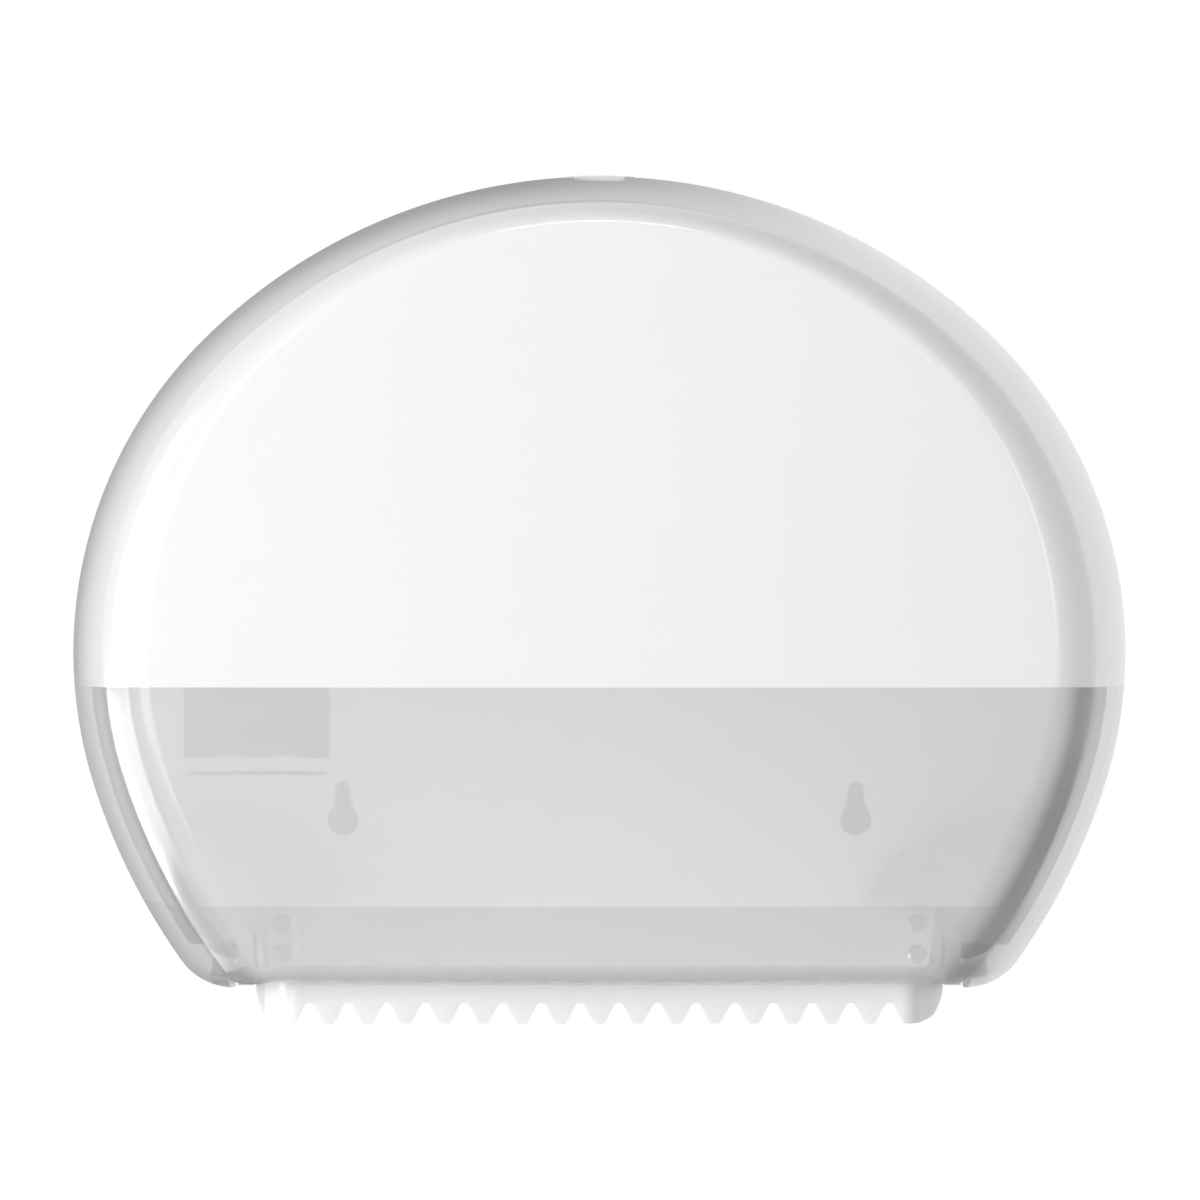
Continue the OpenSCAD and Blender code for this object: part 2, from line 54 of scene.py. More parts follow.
# ---------------------------------------------------------------- cover form
# Millimetres, as the solids have them, apart from the sides of the crease and the lead of the turn,
# which follow the photograph. Depths (D) are distances from the wall.
COVER_W, COVER_DEPTH, WALL, RIM_D = 345.0, 132.0, 2.6, 3.0
RIM_TOP, RIM_BOTTOM = 109.0, 156.6
CROWN_R, SHOULDER_R, FLANK_R, CORNER_R = 184.3, 144.3, 206.4, 20.9
CROWN_END, SHOULDER_END = math.radians(45.2), math.radians(17.6)
# Insets of the crease and of the face's edge from the rim, and the radius of their lower corners
CREASE = {"side": 13.0, "top": 11.5, "bottom": 4.0, "corner": 11.0}
EDGE = {"side": 29.0, "top": 19.5, "bottom": 11.0, "corner": 7.0}
# Power of the skirt's flare, how sharply the turn towards the face starts, and the turn's depth
SKIRT_POWER, TURN_LEAD, ROLL_OVER = 1.7, 0.2, 16.0
# Middle of the face, and how far it falls back at half of its width
FACE_C, FACE_BULGE, FACE_HALF_W = (0.0, -25.0), 11.0, 143.0
# Height at which the white shell ends and the window starts
SPLIT_Z = -57.8
# Steps along the outline's arcs and straight edge, and from the rim to the middle of the face
CROWN_STEPS, SHOULDER_STEPS, FLANK_STEPS, CORNER_STEPS, STRAIGHT_STEPS = 9, 12, 6, 5, 5
SKIRT_STEPS, TURN_STEPS, FACE_STEPS = 6, 5, 4


def mix(a, b, t):
    return a + (b - a) * t


CROWN_C = (0.0, RIM_TOP - CROWN_R)
SHOULDER_C = (
    CROWN_C[0] + (CROWN_R - SHOULDER_R) * math.cos(CROWN_END),
    CROWN_C[1] + (CROWN_R - SHOULDER_R) * math.sin(CROWN_END),
)
FLANK_C = (
    SHOULDER_C[0] - (FLANK_R - SHOULDER_R) * math.cos(SHOULDER_END),
    SHOULDER_C[1] + (FLANK_R - SHOULDER_R) * math.sin(SHOULDER_END),
)
WIDTH_FIT = COVER_W / 2 / (SHOULDER_C[0] + SHOULDER_R)


def arc(c, r, start, end, n, top_extra=0.0):
    """Points of one arc of the outline, clockwise, without its last point.

    The extra inset is nothing at the sides and grows towards the top.
    """
    out = []
    for i in range(n):
        a = mix(start, end, i / n)
        here = r - top_extra * max(0.0, math.sin(a)) ** 2
        out.append((c[0] + here * math.cos(a), c[1] + here * math.sin(a)))
    return out


def outline(side, top, bottom, r, fine):
    """The cover's closed outline in X and Z, inset at the sides, top and bottom."""
    z = -RIM_BOTTOM + bottom + r
    reach = FLANK_R - side - r
    c = (FLANK_C[0] + math.sqrt(reach**2 - (z - FLANK_C[1]) ** 2), z)
    turn = math.atan2(c[1] - FLANK_C[1], c[0] - FLANK_C[0])
    half = arc(CROWN_C, CROWN_R - side, math.pi / 2, CROWN_END, CROWN_STEPS * fine, top - side)
    half += arc(SHOULDER_C, SHOULDER_R - side, CROWN_END, -SHOULDER_END,
                SHOULDER_STEPS * fine, top - side)
    half += arc(FLANK_C, FLANK_R - side, -SHOULDER_END, turn, FLANK_STEPS * fine)
    half += arc(c, r, turn, -math.pi / 2, CORNER_STEPS * fine)
    n = STRAIGHT_STEPS * fine
    half += [(c[0] * (1 - i / n), -RIM_BOTTOM + bottom) for i in range(n)]
    half.append((0.0, -RIM_BOTTOM + bottom))
    return half + [(-x, z) for x, z in half[-2:0:-1]]


def face_d(x):
    """Depth of the face, which bulges sideways."""
    return COVER_DEPTH - FACE_BULGE * (x / FACE_HALF_W) ** 2


def crease_d(x):
    """Depth of the crease between the skirt and the turn towards the face."""
    return face_d(x) - ROLL_OVER


def cover_rings(inset, rear, fine):
    """Rings of the cover's surface at an inset from its outside, from the rim to the face."""
    rings = []
    for i in range(SKIRT_STEPS * fine + 1):
        f = i / (SKIRT_STEPS * fine)
        s = f**SKIRT_POWER
        pts = outline(*(CREASE[k] * s + inset for k in ("side", "top", "bottom")),
                      mix(CORNER_R, CREASE["corner"], s) - inset, fine)
        rings.append([(x, -mix(rear, crease_d(x) - inset, f), z) for x, z in pts])
    for i in range(1, TURN_STEPS * fine + 1):
        a = math.pi / 2 * i / (TURN_STEPS * fine)
        c = mix(1 - math.cos(a), math.sin(a), TURN_LEAD)
        pts = outline(*(mix(CREASE[k], EDGE[k], c) + inset for k in ("side", "top", "bottom")),
                      mix(CREASE["corner"], EDGE["corner"], c) - inset, fine)
        rings.append([(x, -(crease_d(x) - inset + ROLL_OVER * math.sin(a)), z) for x, z in pts])
    edge = rings[-1]
    for i in range(FACE_STEPS * fine - 1, 0, -1):
        k = i / (FACE_STEPS * fine)
        ring = [(x * k, mix(FACE_C[1], z, k)) for x, _, z in edge]
        rings.append([(x, -(face_d(x) - inset), z) for x, z in ring])
    return rings


# Angles above which edges stay crisp, in degrees: the cover's, and those of the other parts
COVER_CRISP, PART_CRISP = 32.0, 40.0


def new_object(name, verts, faces):
    """A mesh object with its faces turned outwards."""
    mesh = bpy.data.meshes.new(name)
    mesh.from_pydata(verts, [], faces)
    mesh.validate()
    obj = bpy.data.objects.new(name, mesh)
    bpy.context.scene.collection.objects.link(obj)
    bm = bmesh.new()
    bm.from_mesh(mesh)
    bmesh.ops.recalc_face_normals(bm, faces=bm.faces)
    bm.to_mesh(mesh)
    bm.free()
    return obj


def cover_form(name, inset, rear, fine=4):
    """A solid that fills the cover out to the surface at an inset."""
    rings = cover_rings(inset, rear, fine)
    n, m = len(rings[0]), len(rings)
    verts = [(x * WIDTH_FIT * MM, y * MM, z * MM) for ring in rings for x, y, z in ring]
    verts.append((0.0, -(COVER_DEPTH - inset) * MM, FACE_C[1] * MM))
    faces = [list(range(n))]
    for j in range(m - 1):
        for i in range(n):
            k = (i + 1) % n
            faces.append([j * n + i, j * n + k, (j + 1) * n + k, (j + 1) * n + i])
    faces += [[(m - 1) * n + i, (m - 1) * n + (i + 1) % n, m * n] for i in range(n)]
    return new_object(name, verts, faces)


def prism(name, verts):
    """A solid between two like rings of points, given one after the other."""
    n = len(verts) // 2
    ends = [list(range(n)), list(range(n, 2 * n))]
    sides = [[i, (i + 1) % n, n + (i + 1) % n, n + i] for i in range(n)]
    return new_object(name, verts, ends + sides)


def box(name, x, d, z):
    """A box between two values of X, two depths and two heights, in mm."""
    verts = [(a * MM, -b * MM, c * MM) for a in x for b in d for c in z]
    faces = [[0, 1, 3, 2], [4, 5, 7, 6], [0, 1, 5, 4], [2, 3, 7, 6], [0, 2, 6, 4], [1, 3, 7, 5]]
    return new_object(name, verts, faces)


def cut(obj, tool, how="DIFFERENCE", keep=False):
    """Takes the tool away from an object, or joins or intersects the two."""
    mod = obj.modifiers.new("cut", "BOOLEAN")
    mod.operation = how
    mod.solver = "EXACT"
    mod.object = tool
    apply_modifiers(obj)
    if not keep:
        remove(tool)


def apply_modifiers(obj):
    """Puts the mesh that an object's modifiers make in place of its own."""
    graph = bpy.context.evaluated_depsgraph_get()
    mesh = bpy.data.meshes.new_from_object(obj.evaluated_get(graph))
    old = obj.data
    obj.modifiers.clear()
    obj.data = mesh
    bpy.data.meshes.remove(old)


def remove(obj):
    mesh = obj.data
    bpy.data.objects.remove(obj)
    bpy.data.meshes.remove(mesh)


def copy_of(obj, name):
    new = obj.copy()
    new.data = obj.data.copy()
    new.name = name
    bpy.context.scene.collection.objects.link(new)
    return new


def smooth(obj, angle):
    """Shades smooth, with edges sharper than the angle in degrees kept crisp."""
    obj.data.shade_smooth()
    bm = bmesh.new()
    bm.from_mesh(obj.data)
    limit = math.radians(angle)
    for e in bm.edges:
        e.smooth = len(e.link_faces) == 2 and e.calc_face_angle(0.0) < limit
    bm.to_mesh(obj.data)
    bm.free()


# How far a cutting tool runs past the surface that it cuts through, and a length past everything
PAST, FAR = 1.0, 400.0
# Opening for the tear bar: half its width, its depth and the height of its upper edge
CUTOUT_HW, CUTOUT_D, CUTOUT_TOP = 119.2, 102.0, -136.0
# Slot for the latch button in the rim: half its width, its depth and a height below the wall
SLOT_HW, SLOT_D, SLOT_FOOT = 12.3, 20.2, 90.0
# Flat before the button: half its width, and depth and height where it starts and ends
FLAT_HW, FLAT_START, FLAT_END, FLAT_TOP = 8.2, (19.0, 107.1), (60.0, 105.7), 112.0
# Keepers of the latch under the rim, one at each side: where they lie in X and depth, and their foot
KEEPER_X, KEEPER_D, KEEPER_Z = (14.8, 18.6), (10.8, 13.2), 99.7
# Lip of the window behind the white shell: height, thickness, play and where it starts
LAP_H, LAP_T, LAP_PLAY, LAP_D = 7.0, 1.4, 0.1, 26.0
# Insets from the rim between which painted shade comes onto the window's turn and its skirt,
# and the share of that painted shade that the skirt keeps
TURN_SHADE_FROM, TURN_SHADE_FULL = 23.5, 17.5
SKIRT_FROM, SKIRT_TO, SKIRT_SHADE_SHARE = 13.3, 11.5, 0.5
SHOULDER_FOOT = SHOULDER_C[1] - SHOULDER_R * math.sin(SHOULDER_END)


def finger_flat():
    """The tool for the shallow flat before the latch button, which lets the eye see its front."""
    profile = [FLAT_START, FLAT_END, (FLAT_END[0], FLAT_TOP), (FLAT_START[0], FLAT_TOP)]
    verts = [(x * MM, -d * MM, z * MM) for x in (-FLAT_HW, FLAT_HW) for d, z in profile]
    return prism("flat", verts)


def cover_skin():
    """The cover's shell in one piece, with its openings."""
    skin = cover_form("skin", 0.0, RIM_D)
    cut(skin, cover_form("inner", WALL, RIM_D - 2 * PAST))
    cut(skin, box("cutout", (-CUTOUT_HW, CUTOUT_HW), (-PAST, CUTOUT_D),
                  (-RIM_BOTTOM - PAST, CUTOUT_TOP)))
    cut(skin, box("slot", (-SLOT_HW, SLOT_HW), (-PAST, SLOT_D), (SLOT_FOOT, RIM_TOP + PAST)))
    cut(skin, finger_flat())
    return skin


def side_inset(x, z):
    """Distance from a point of the front view to the side of the rim, in mm."""
    c, r = (SHOULDER_C, SHOULDER_R) if z > SHOULDER_FOOT else (FLANK_C, FLANK_R)
    return r - math.hypot(abs(x) - c[0], z - c[1])


def smooth_step(t):
    t = min(1.0, max(0.0, t))
    return t * t * (3 - 2 * t)


def mark_turn_shade(obj):
    """Stores on each point how much painted shade it gets: full on the window's turn, part on its
    skirt.
    """
    marks = obj.data.attributes.new("turn_shade", "FLOAT", "POINT")
    for v, mark in zip(obj.data.vertices, marks.data):
        inset = side_inset(v.co.x / MM, v.co.z / MM)
        turn = smooth_step((TURN_SHADE_FROM - inset) / (TURN_SHADE_FROM - TURN_SHADE_FULL))
        skirt = smooth_step((SKIRT_FROM - inset) / (SKIRT_FROM - SKIRT_TO))
        mark.value = turn * (1 - (1 - SKIRT_SHADE_SHARE) * skirt)


def paint(obj, material):
    obj.data.materials.clear()
    obj.data.materials.append(material)


def make_cover():
    """The white shell with the latch's keepers, and the window with its lip."""
    skin = cover_skin()
    window = copy_of(skin, "window_shell")
    skin.name = "white_shell"
    below = box("below", (-FAR, FAR), (-PAST, FAR), (-FAR, SPLIT_Z))
    cut(skin, below, keep=True)
    cut(window, below, how="INTERSECT", keep=True)
    for side in (-1, 1):
        xs = sorted(side * x for x in KEEPER_X)
        keeper = box("keeper", xs, KEEPER_D, (KEEPER_Z, RIM_TOP))
        cut(keeper, cover_form("fill", WALL / 2, RIM_D, 2), how="INTERSECT")
        cut(skin, keeper, how="UNION")
    lap = cover_form("lap", WALL + LAP_PLAY, RIM_D, 3)
    join = cover_form("join", WALL / 2, RIM_D, 3)
    cut(join, below, how="INTERSECT")
    cut(lap, join, how="UNION")
    cut(lap, box("band", (-FAR, FAR), (LAP_D, FAR), (SPLIT_Z - LAP_H / 2, SPLIT_Z + LAP_H)),
        how="INTERSECT")
    cut(lap, cover_form("inside", WALL + LAP_PLAY + LAP_T, RIM_D, 3))
    cut(window, lap, how="UNION")
    for obj in (skin, window):
        smooth(obj, COVER_CRISP)
        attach(obj, "cover")
    mark_turn_shade(window)
    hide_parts("cover_shell")
    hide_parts("cover_window")
    paint(skin, WHITE_GLOSS)
    paint(window, WINDOW)


# ---------------------------------------------------------------- moulded edges
# Parts that get smooth curves, with the width of the rounding of their edges in mm
EDGE_ROUNDING = {
    "tear_bar": 0.55,
    "latch_button": 0.4,
    "back_plate": 0.0,
    "guide_left": 0.0,
    "guide_right": 0.0,
    "lock_housing": 0.0,
    "hinge_lug_left": 0.0,
    "hinge_lug_right": 0.0,
    "spindle_post": 0.0,
    "spindle_hub": 0.0,
    "hub_cap": 0.0,
}
# Faces that meet at less than the first angle become one, and edges above the second get round.
# Points nearer to each other than the last number, in metres, are merged.
FLAT_BELOW, ROUND_ABOVE = math.radians(1.0), math.radians(38)
MERGE_BELOW = 1e-6


def finished_copy(node, width):
    """A copy of a node's mesh with smooth curves, and with rounded edges if there is a width."""
    obj = bpy.data.objects.new(node + "_finished", frame["nodes"][node].data.copy())
    bpy.context.scene.collection.objects.link(obj)
    bm = bmesh.new()
    bm.from_mesh(obj.data)
    bmesh.ops.remove_doubles(bm, verts=bm.verts, dist=MERGE_BELOW)
    if width:
        bmesh.ops.dissolve_limit(bm, angle_limit=FLAT_BELOW, verts=bm.verts, edges=bm.edges)
    bm.to_mesh(obj.data)
    bm.free()
    if width:
        mod = obj.modifiers.new("rounding", "BEVEL")
        mod.width = width * MM
        mod.segments = 2
        mod.limit_method = "ANGLE"
        mod.angle_limit = ROUND_ABOVE
        mod.use_clamp_overlap = True
        apply_modifiers(obj)
    smooth(obj, PART_CRISP)
    return obj


# Keyholes of the back plate, in mm: the heads' places, then the slots' radius, and their foot and
# top above the head's middle, as in the photograph, and the Y between which they are cut
KEYHOLE_X, KEYHOLE_HEADS_Z = 84.2, (-102.0, 54.0)
SLOT_R, SLOT_FROM, SLOT_TOP, SLOT_Y = 2.8, 3.0, 12.6, (-20.0, 1.0)
SLOT_END_STEPS = 16


def lengthen_keyholes(plate):
    """Cuts the slots of the keyholes up to the height that they have in the photograph."""
    angles = [math.pi * i / SLOT_END_STEPS for i in range(SLOT_END_STEPS + 1)]
    for x in (-KEYHOLE_X, KEYHOLE_X):
        for z in KEYHOLE_HEADS_Z:
            pts = [(x + SLOT_R * math.cos(a), z + SLOT_TOP - SLOT_R + SLOT_R * math.sin(a))
                   for a in angles]
            pts += [(x - SLOT_R, z + SLOT_FROM), (x + SLOT_R, z + SLOT_FROM)]
            verts = [(px * MM, y * MM, pz * MM) for y in SLOT_Y for px, pz in pts]
            cut(plate, prism("slot", verts))


def finish_edges():
    """Puts the finished copies in the place of their nodes."""
    bodies = frame["record"]["behaviour"]["bodies"]
    home = {node: body for body, nodes in bodies.items() for node in nodes}
    for node, width in EDGE_ROUNDING.items():
        obj = finished_copy(node, width)
        if node == "back_plate":
            lengthen_keyholes(obj)
            smooth(obj, PART_CRISP)
        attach(obj, home[node])
        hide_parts(node)


def squeeze_spring():
    """A finished copy of the latch's spring, which stands on the housing, in place of its node."""
    spring = finished_copy("latch_spring", 0.0)
    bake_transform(spring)
    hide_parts("latch_spring")


# ---------------------------------------------------------------- materials
# The window: tones of its face and of the painted shade on its turn and skirt, how much they
# hide, how much light spreads inside, and the painted shade along its lower edge, a darker band,
# with the height where it starts and the width of its upper edge, in mm
FACE_TONE, TURN_SHADE_TONE = (0.97, 0.97, 0.975), (0.46, 0.46, 0.465)
FACE_ALPHA, TURN_SHADE_ALPHA, THROUGH = 0.70, 0.88, 0.16
SHADE_BAND_TOP, SHADE_BAND_EDGE, SHADE_BAND_TONE = -127.2, 0.8, (0.84, 0.84, 0.845)
# All surfaces: scale of the cloudy variation, share of it towards bright, the range of the
# roughness, and the depth of the orange peel in metres
CLOUD_SCALE, BRIGHT_SHARE, ROUGH_FROM, ROUGH_TO, PEEL_DEPTH = 14.0, 0.4, 0.85, 1.2, 0.0002


def math_node(nodes, links, operation, *values):
    """A Math node whose inputs are numbers or sockets."""
    node = nodes.new("ShaderNodeMath")
    node.operation = operation
    for socket, value in zip(node.inputs, values):
        if isinstance(value, (int, float)):
            socket.default_value = value
        else:
            links.new(value, socket)
    return node.outputs[0]


def mix_shaders(nodes, links, share, first, second):
    """A Mix Shader node. The share of the second shader is a number or a socket."""
    node = nodes.new("ShaderNodeMixShader")
    if isinstance(share, float):
        node.inputs["Fac"].default_value = share
    else:
        links.new(share, node.inputs["Fac"])
    links.new(first, node.inputs[1])
    links.new(second, node.inputs[2])
    return node.outputs[0]


def ramp_node(nodes, links, value, low, high):
    """Maps a socket's numbers from low to high smoothly to 0 to 1."""
    node = nodes.new("ShaderNodeMapRange")
    node.interpolation_type = "SMOOTHSTEP"
    node.inputs["From Min"].default_value = low
    node.inputs["From Max"].default_value = high
    links.new(value, node.inputs["Value"])
    return node.outputs["Result"]


def plastic(name, color, rough, bump=0.04, grain=900.0, vary=0.03):
    """Moulded plastic: fine orange peel, slight variation of tone and gloss."""
    mat = bpy.data.materials.new(name)
    mat.use_nodes = True
    nodes, links = mat.node_tree.nodes, mat.node_tree.links
    shader = nodes["Principled BSDF"]
    where = nodes.new("ShaderNodeTexCoord")
    peel = nodes.new("ShaderNodeTexNoise")
    peel.inputs["Scale"].default_value = grain
    peel.inputs["Detail"].default_value = 3.0
    cloud = nodes.new("ShaderNodeTexNoise")
    cloud.inputs["Scale"].default_value = CLOUD_SCALE
    cloud.inputs["Detail"].default_value = 4.0
    for tex in (peel, cloud):
        links.new(where.outputs["Object"], tex.inputs["Vector"])
    tone = nodes.new("ShaderNodeMix")
    tone.data_type = "RGBA"
    tone.inputs["A"].default_value = (*[c * (1 - vary) for c in color], 1.0)
    tone.inputs["B"].default_value = (*[min(1.0, c * (1 + vary * BRIGHT_SHARE)) for c in color], 1.0)
    links.new(cloud.outputs["Fac"], tone.inputs["Factor"])
    links.new(tone.outputs["Result"], shader.inputs["Base Color"])
    gloss = nodes.new("ShaderNodeMapRange")
    gloss.inputs["To Min"].default_value = rough * ROUGH_FROM
    gloss.inputs["To Max"].default_value = rough * ROUGH_TO
    links.new(cloud.outputs["Fac"], gloss.inputs["Value"])
    links.new(gloss.outputs["Result"], shader.inputs["Roughness"])
    relief = nodes.new("ShaderNodeBump")
    relief.inputs["Strength"].default_value = bump
    relief.inputs["Distance"].default_value = PEEL_DEPTH
    links.new(peel.outputs["Fac"], relief.inputs["Height"])
    links.new(relief.outputs["Normal"], shader.inputs["Normal"])
    return mat


def felt(name, color):
    mat = plastic(name, color, 0.95, bump=0.6, grain=2600.0, vary=0.25)
    mat.node_tree.nodes["Principled BSDF"].inputs["Sheen Weight"].default_value = 0.3
    return mat


def metal(name, color, rough):
    mat = plastic(name, color, rough, bump=0.08, grain=3000.0, vary=0.08)
    mat.node_tree.nodes["Principled BSDF"].inputs["Metallic"].default_value = 1.0
    return mat


def window_plastic(name):
    """Grey translucent plastic. Its turn and skirt are darker and hide more: painted shade.

    Only the skin that faces the eye counts, so that the two skins of the wall aren't added up.
    A part of the light that falls on it goes through and spreads out inside. Along its lower
    edge it is a little darker: painted shade of the chute behind.
    """
    mat = plastic(name, FACE_TONE, 0.16, bump=0.02, vary=0.012)
    nodes, links = mat.node_tree.nodes, mat.node_tree.links
    shader = nodes["Principled BSDF"]
    # The mark of painted shade on the window's turn and skirt: a darker tone that hides more
    wall = nodes.new("ShaderNodeAttribute")
    wall.attribute_name = "turn_shade"
    tone = nodes.new("ShaderNodeMix")
    tone.data_type = "RGBA"
    links.new(wall.outputs["Fac"], tone.inputs["Factor"])
    where = nodes.new("ShaderNodeTexCoord")
    split = nodes.new("ShaderNodeSeparateXYZ")
    links.new(where.outputs["Object"], split.inputs[0])
    # Painted shade: a darker band along the lower edge, for the chute behind it in shade
    band = nodes.new("ShaderNodeMix")
    band.data_type = "RGBA"
    band.blend_type = "MULTIPLY"
    in_band = ramp_node(nodes, links, split.outputs["Z"],
                        SHADE_BAND_TOP * MM, (SHADE_BAND_TOP - SHADE_BAND_EDGE) * MM)
    links.new(in_band, band.inputs["Factor"])
    links.new(shader.inputs["Base Color"].links[0].from_socket, band.inputs["A"])
    band.inputs["B"].default_value = (*SHADE_BAND_TONE, 1.0)
    links.new(band.outputs["Result"], tone.inputs["A"])
    tone.inputs["B"].default_value = (*TURN_SHADE_TONE, 1.0)
    links.new(tone.outputs["Result"], shader.inputs["Base Color"])
    side = nodes.new("ShaderNodeNewGeometry")
    front = math_node(nodes, links, "SUBTRACT", 1.0, side.outputs["Backfacing"])
    hides = math_node(nodes, links, "MULTIPLY_ADD", wall.outputs["Fac"],
                      TURN_SHADE_ALPHA - FACE_ALPHA, FACE_ALPHA)
    hides = math_node(nodes, links, "MULTIPLY", hides, front)
    glow = nodes.new("ShaderNodeBsdfTranslucent")
    links.new(tone.outputs["Result"], glow.inputs["Color"])
    body = mix_shaders(nodes, links, THROUGH, shader.outputs[0], glow.outputs[0])
    clear = nodes.new("ShaderNodeBsdfTransparent")
    whole = mix_shaders(nodes, links, hides, clear.outputs[0], body)
    links.new(whole, nodes["Material Output"].inputs["Surface"])
    return mat


WHITE_GLOSS = plastic("white_gloss", (0.92, 0.92, 0.92), 0.16, bump=0.02, vary=0.012)
WHITE_SATIN = plastic("white_satin", (0.88, 0.88, 0.875), 0.38, bump=0.10, vary=0.02)
# Whiter than the other white plastic: painted light on the tear bar and latch button, which sit in
# shade under the cover
WHITE_PAINTED_LIGHT = plastic("white_painted_light", (0.95, 0.95, 0.95), 0.38, bump=0.02, vary=0.01)
# Grey: painted shade on the guides in the cover's lower corners
GUIDE_PAINTED_SHADE = plastic("guide_painted_shade", (0.58, 0.58, 0.58), 0.4, bump=0.10, vary=0.02)
# Nodes that differ in tone from the others of their slot, by painted light or painted shade, and the
# looks of the slots
OWN_LOOKS = {
    "tear_bar": WHITE_PAINTED_LIGHT,
    "latch_button": WHITE_PAINTED_LIGHT,
    "guide_left": GUIDE_PAINTED_SHADE,
    "guide_right": GUIDE_PAINTED_SHADE,
}
WINDOW = window_plastic("window_grey")
NYLON = plastic("nylon", (0.80, 0.79, 0.75), 0.42, bump=0.08)
FELT = felt("brake_felt", (0.20, 0.205, 0.22))
STEEL = metal("zinc_steel", (0.58, 0.59, 0.61), 0.46)
NODE_LOOKS = {
    "white_gloss": WHITE_GLOSS,
    "white_plastic": WHITE_SATIN,
    "window": WINDOW,
    "nylon": NYLON,
    "felt": FELT,
    "steel": STEEL,
}


def dress_nodes():
    slots = {s["node"]: s["material_slot"] for s in frame["record"]["subparts"]}
    for name, obj in frame["nodes"].items():
        paint(obj, OWN_LOOKS.get(name, NODE_LOOKS[slots[name]]))


# ---------------------------------------------------------------- studio
# Light of the world from all sides, and what the front adds to it
AMBIENT, FRONT_EXTRA = 0.475, 0.13
# A dark card behind the object, which gloss alone sees. It is full up to the first distance from
# straight behind and gone at the second: sines of the angles. It lies to the left, above and below.
# CARD_TOP is how much height counts beside left, CARD_DARK what it takes away from white, and
# CARD_BEHIND the Y of the direction from which it is full.
CARD_FROM, CARD_TO = 0.18, 0.43
CARD_TOP, CARD_DARK, CARD_BEHIND = 0.75, 0.85, 0.5


def area_light(name, place, aim, size, power, gloss_only):
    lamp = bpy.data.lights.new(name, "AREA")
    lamp.shape = "RECTANGLE"
    lamp.size, lamp.size_y = size
    lamp.energy = power
    obj = bpy.data.objects.new(name, lamp)
    bpy.context.scene.collection.objects.link(obj)
    obj.location = place
    obj.visible_diffuse = not gloss_only
    obj.rotation_euler = (Vector(aim) - Vector(place)).to_track_quat("-Z", "Y").to_euler()


def make_world():
    """White to the camera, soft grey light that is a little stronger from the front.

    Gloss sees white too, apart from the dark card.
    """
    world = bpy.data.worlds.new("studio")
    bpy.context.scene.world = world
    world.use_nodes = True
    nodes, links = world.node_tree.nodes, world.node_tree.links
    nodes.clear()

    def calc(operation, *values):
        return math_node(nodes, links, operation, *values)

    where = nodes.new("ShaderNodeTexCoord")
    split = nodes.new("ShaderNodeSeparateXYZ")
    links.new(where.outputs["Generated"], split.inputs[0])
    x, y, z = split.outputs
    away = calc("SQRT", calc("ADD", calc("MULTIPLY", x, x), calc("MULTIPLY", z, z)))
    card = calc("SUBTRACT", 1.0, ramp_node(nodes, links, away, CARD_FROM, CARD_TO))
    height = calc("ABSOLUTE", z)
    corner = calc("DIVIDE", calc("SUBTRACT", calc("MULTIPLY", height, CARD_TOP), x), away)
    card = calc("MULTIPLY", card, ramp_node(nodes, links, corner, 0.0, 1.0))
    card = calc("MULTIPLY", card, ramp_node(nodes, links, y, 0.0, CARD_BEHIND))

    lit, mirrored, seen = [nodes.new("ShaderNodeBackground") for _ in range(3)]
    for node in (lit, mirrored, seen):
        node.inputs["Color"].default_value = (1, 1, 1, 1)
    links.new(calc("MULTIPLY_ADD", y, -FRONT_EXTRA, AMBIENT), lit.inputs["Strength"])
    links.new(calc("MULTIPLY_ADD", card, -CARD_DARK, 1.0), mirrored.inputs["Strength"])
    ray = nodes.new("ShaderNodeLightPath")
    plain = calc("MAXIMUM", ray.outputs["Is Camera Ray"], ray.outputs["Is Transmission Ray"])
    light = mix_shaders(nodes, links, ray.outputs["Is Glossy Ray"],
                        lit.outputs[0], mirrored.outputs[0])
    out = nodes.new("ShaderNodeOutputWorld")
    links.new(mix_shaders(nodes, links, plain, light, seen.outputs[0]), out.inputs["Surface"])


def see_through_from_behind(mat, light_passes=False):
    """Shows a flat surface only from its front, and if light passes, only to the camera."""
    nodes, links = mat.node_tree.nodes, mat.node_tree.links
    side = nodes.new("ShaderNodeNewGeometry")
    shown = math_node(nodes, links, "SUBTRACT", 1.0, side.outputs["Backfacing"])
    if light_passes:
        ray = nodes.new("ShaderNodeLightPath")
        shown = math_node(nodes, links, "MULTIPLY", shown, ray.outputs["Is Camera Ray"])
    clear = nodes.new("ShaderNodeBsdfTransparent")
    pick = mix_shaders(nodes, links, shown, clear.outputs[0], nodes["Principled BSDF"].outputs[0])
    links.new(pick, nodes["Material Output"].inputs["Surface"])
    return mat


# Half the floor's side and its height in metres, and the inset and gap in mm of the near-black
# sheet of painted shade behind the plate
FLOOR_HALF, FLOOR_Z = 3.0, -0.75
PATCH_INSET, PATCH_GAP = 9.0, 0.4


def make_floor():
    corners = [(-1, -1), (1, -1), (1, 1), (-1, 1)]
    verts = [(x * FLOOR_HALF, y * FLOOR_HALF, FLOOR_Z) for x, y in corners]
    floor = new_object("floor", verts, [[0, 1, 2, 3]])
    if floor.data.polygons[0].normal.z < 0:
        floor.data.flip_normals()
    pale = plastic("floor_pale", (0.82, 0.82, 0.82), 0.7, bump=0.0)
    floor.data.materials.append(see_through_from_behind(pale))


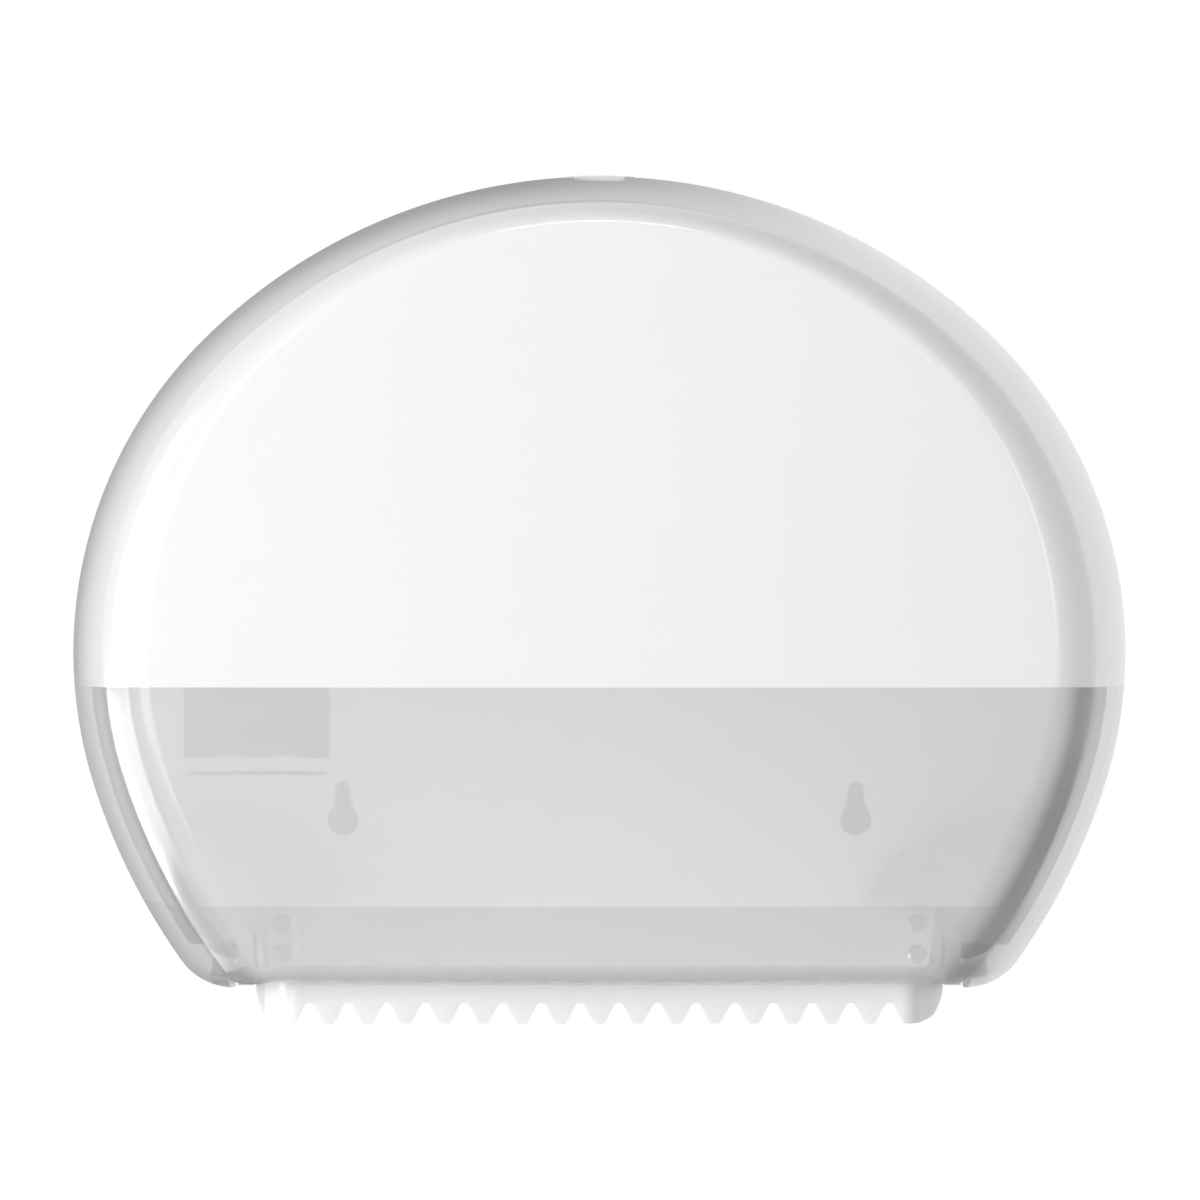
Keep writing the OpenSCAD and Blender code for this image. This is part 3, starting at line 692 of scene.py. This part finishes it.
def make_shade_sheet():
    """A near-black sheet right behind the back plate, painted shade of the wall, seen from the front
    through its keyholes and opening.

    Light passes it, so that the back of the plate isn't dark from behind.
    """
    pts = outline(PATCH_INSET, PATCH_INSET, PATCH_INSET, CORNER_R - PATCH_INSET, 2)
    verts = [(x * MM, PATCH_GAP * MM, z * MM) for x, z in pts]
    patch = new_object("shade_sheet", verts, [list(range(len(pts)))])
    if patch.data.polygons[0].normal.y > 0:
        patch.data.flip_normals()
    # Near-black: painted shade of the wall behind the plate
    shade = plastic("painted_shade_black", (0.03, 0.03, 0.03), 0.8, bump=0.0)
    patch.data.materials.append(see_through_from_behind(shade, light_passes=True))


# The photograph's width in pixels, the size of one of them at the rim and the camera's place in mm
PHOTO_W, MM_PER_PIXEL = 1200.0, 0.32823
CAMERA_X, CAMERA_Z, CAMERA_D = 0.2, -29.9, 4200.0
SENSOR_W = 36.0


def make_camera():
    data = bpy.data.cameras.new("photo_view")
    data.sensor_width = SENSOR_W
    data.lens = SENSOR_W * (CAMERA_D - RIM_D) / (PHOTO_W * MM_PER_PIXEL)
    data.clip_end = 50.0
    cam = bpy.data.objects.new("photo_view", data)
    bpy.context.scene.collection.objects.link(cam)
    cam.location = (CAMERA_X * MM, -CAMERA_D * MM, CAMERA_Z * MM)
    cam.rotation_euler = (math.pi / 2, 0.0, 0.0)
    bpy.context.scene.camera = cam


# Name, place, point aimed at, size, watts, and whether gloss alone shows it. Metres
LAMPS = [
    ("key", (-1.9, -2.1, 0.25), (0, 0, -0.03), (1.4, 1.4), 35.5, False),
    ("left_soft", (-1.6, 0.15, 0.1), (0, 0, -0.02), (0.9, 1.5), 8, True),
    ("left_low", (-1.45, 0.45, -0.43), (0, 0, -0.09), (1.6, 0.55), 25, True),
    ("left_floor", (-1.25, 0.7, -0.74), (-1.25, 0.7, 0.5), (0.9, 1.8), 11, True),
    ("fill_right", (1.9, -2.2, 0.0), (0, 0, -0.05), (1.0, 1.0), 2.4, False),
    ("fill_low", (0.5, -1.8, -0.62), (0, -0.06, -0.13), (1.2, 0.2), 1.6, False),
    ("top_soft", (0.0, -1.3, 1.5), (0, -0.1, 0.08), (0.9, 0.45), 6.5, True),
    ("right_strip", (1.5, -1.5, 0.5), (0, 0, 0), (0.05, 1.2), 2.5, True),
]

make_camera()
make_world()
make_floor()
make_shade_sheet()
for lamp_values in LAMPS:
    area_light(*lamp_values)

dress_nodes()
finish_edges()
squeeze_spring()
make_cover()

bpy.context.scene.view_settings.view_transform = "Standard"
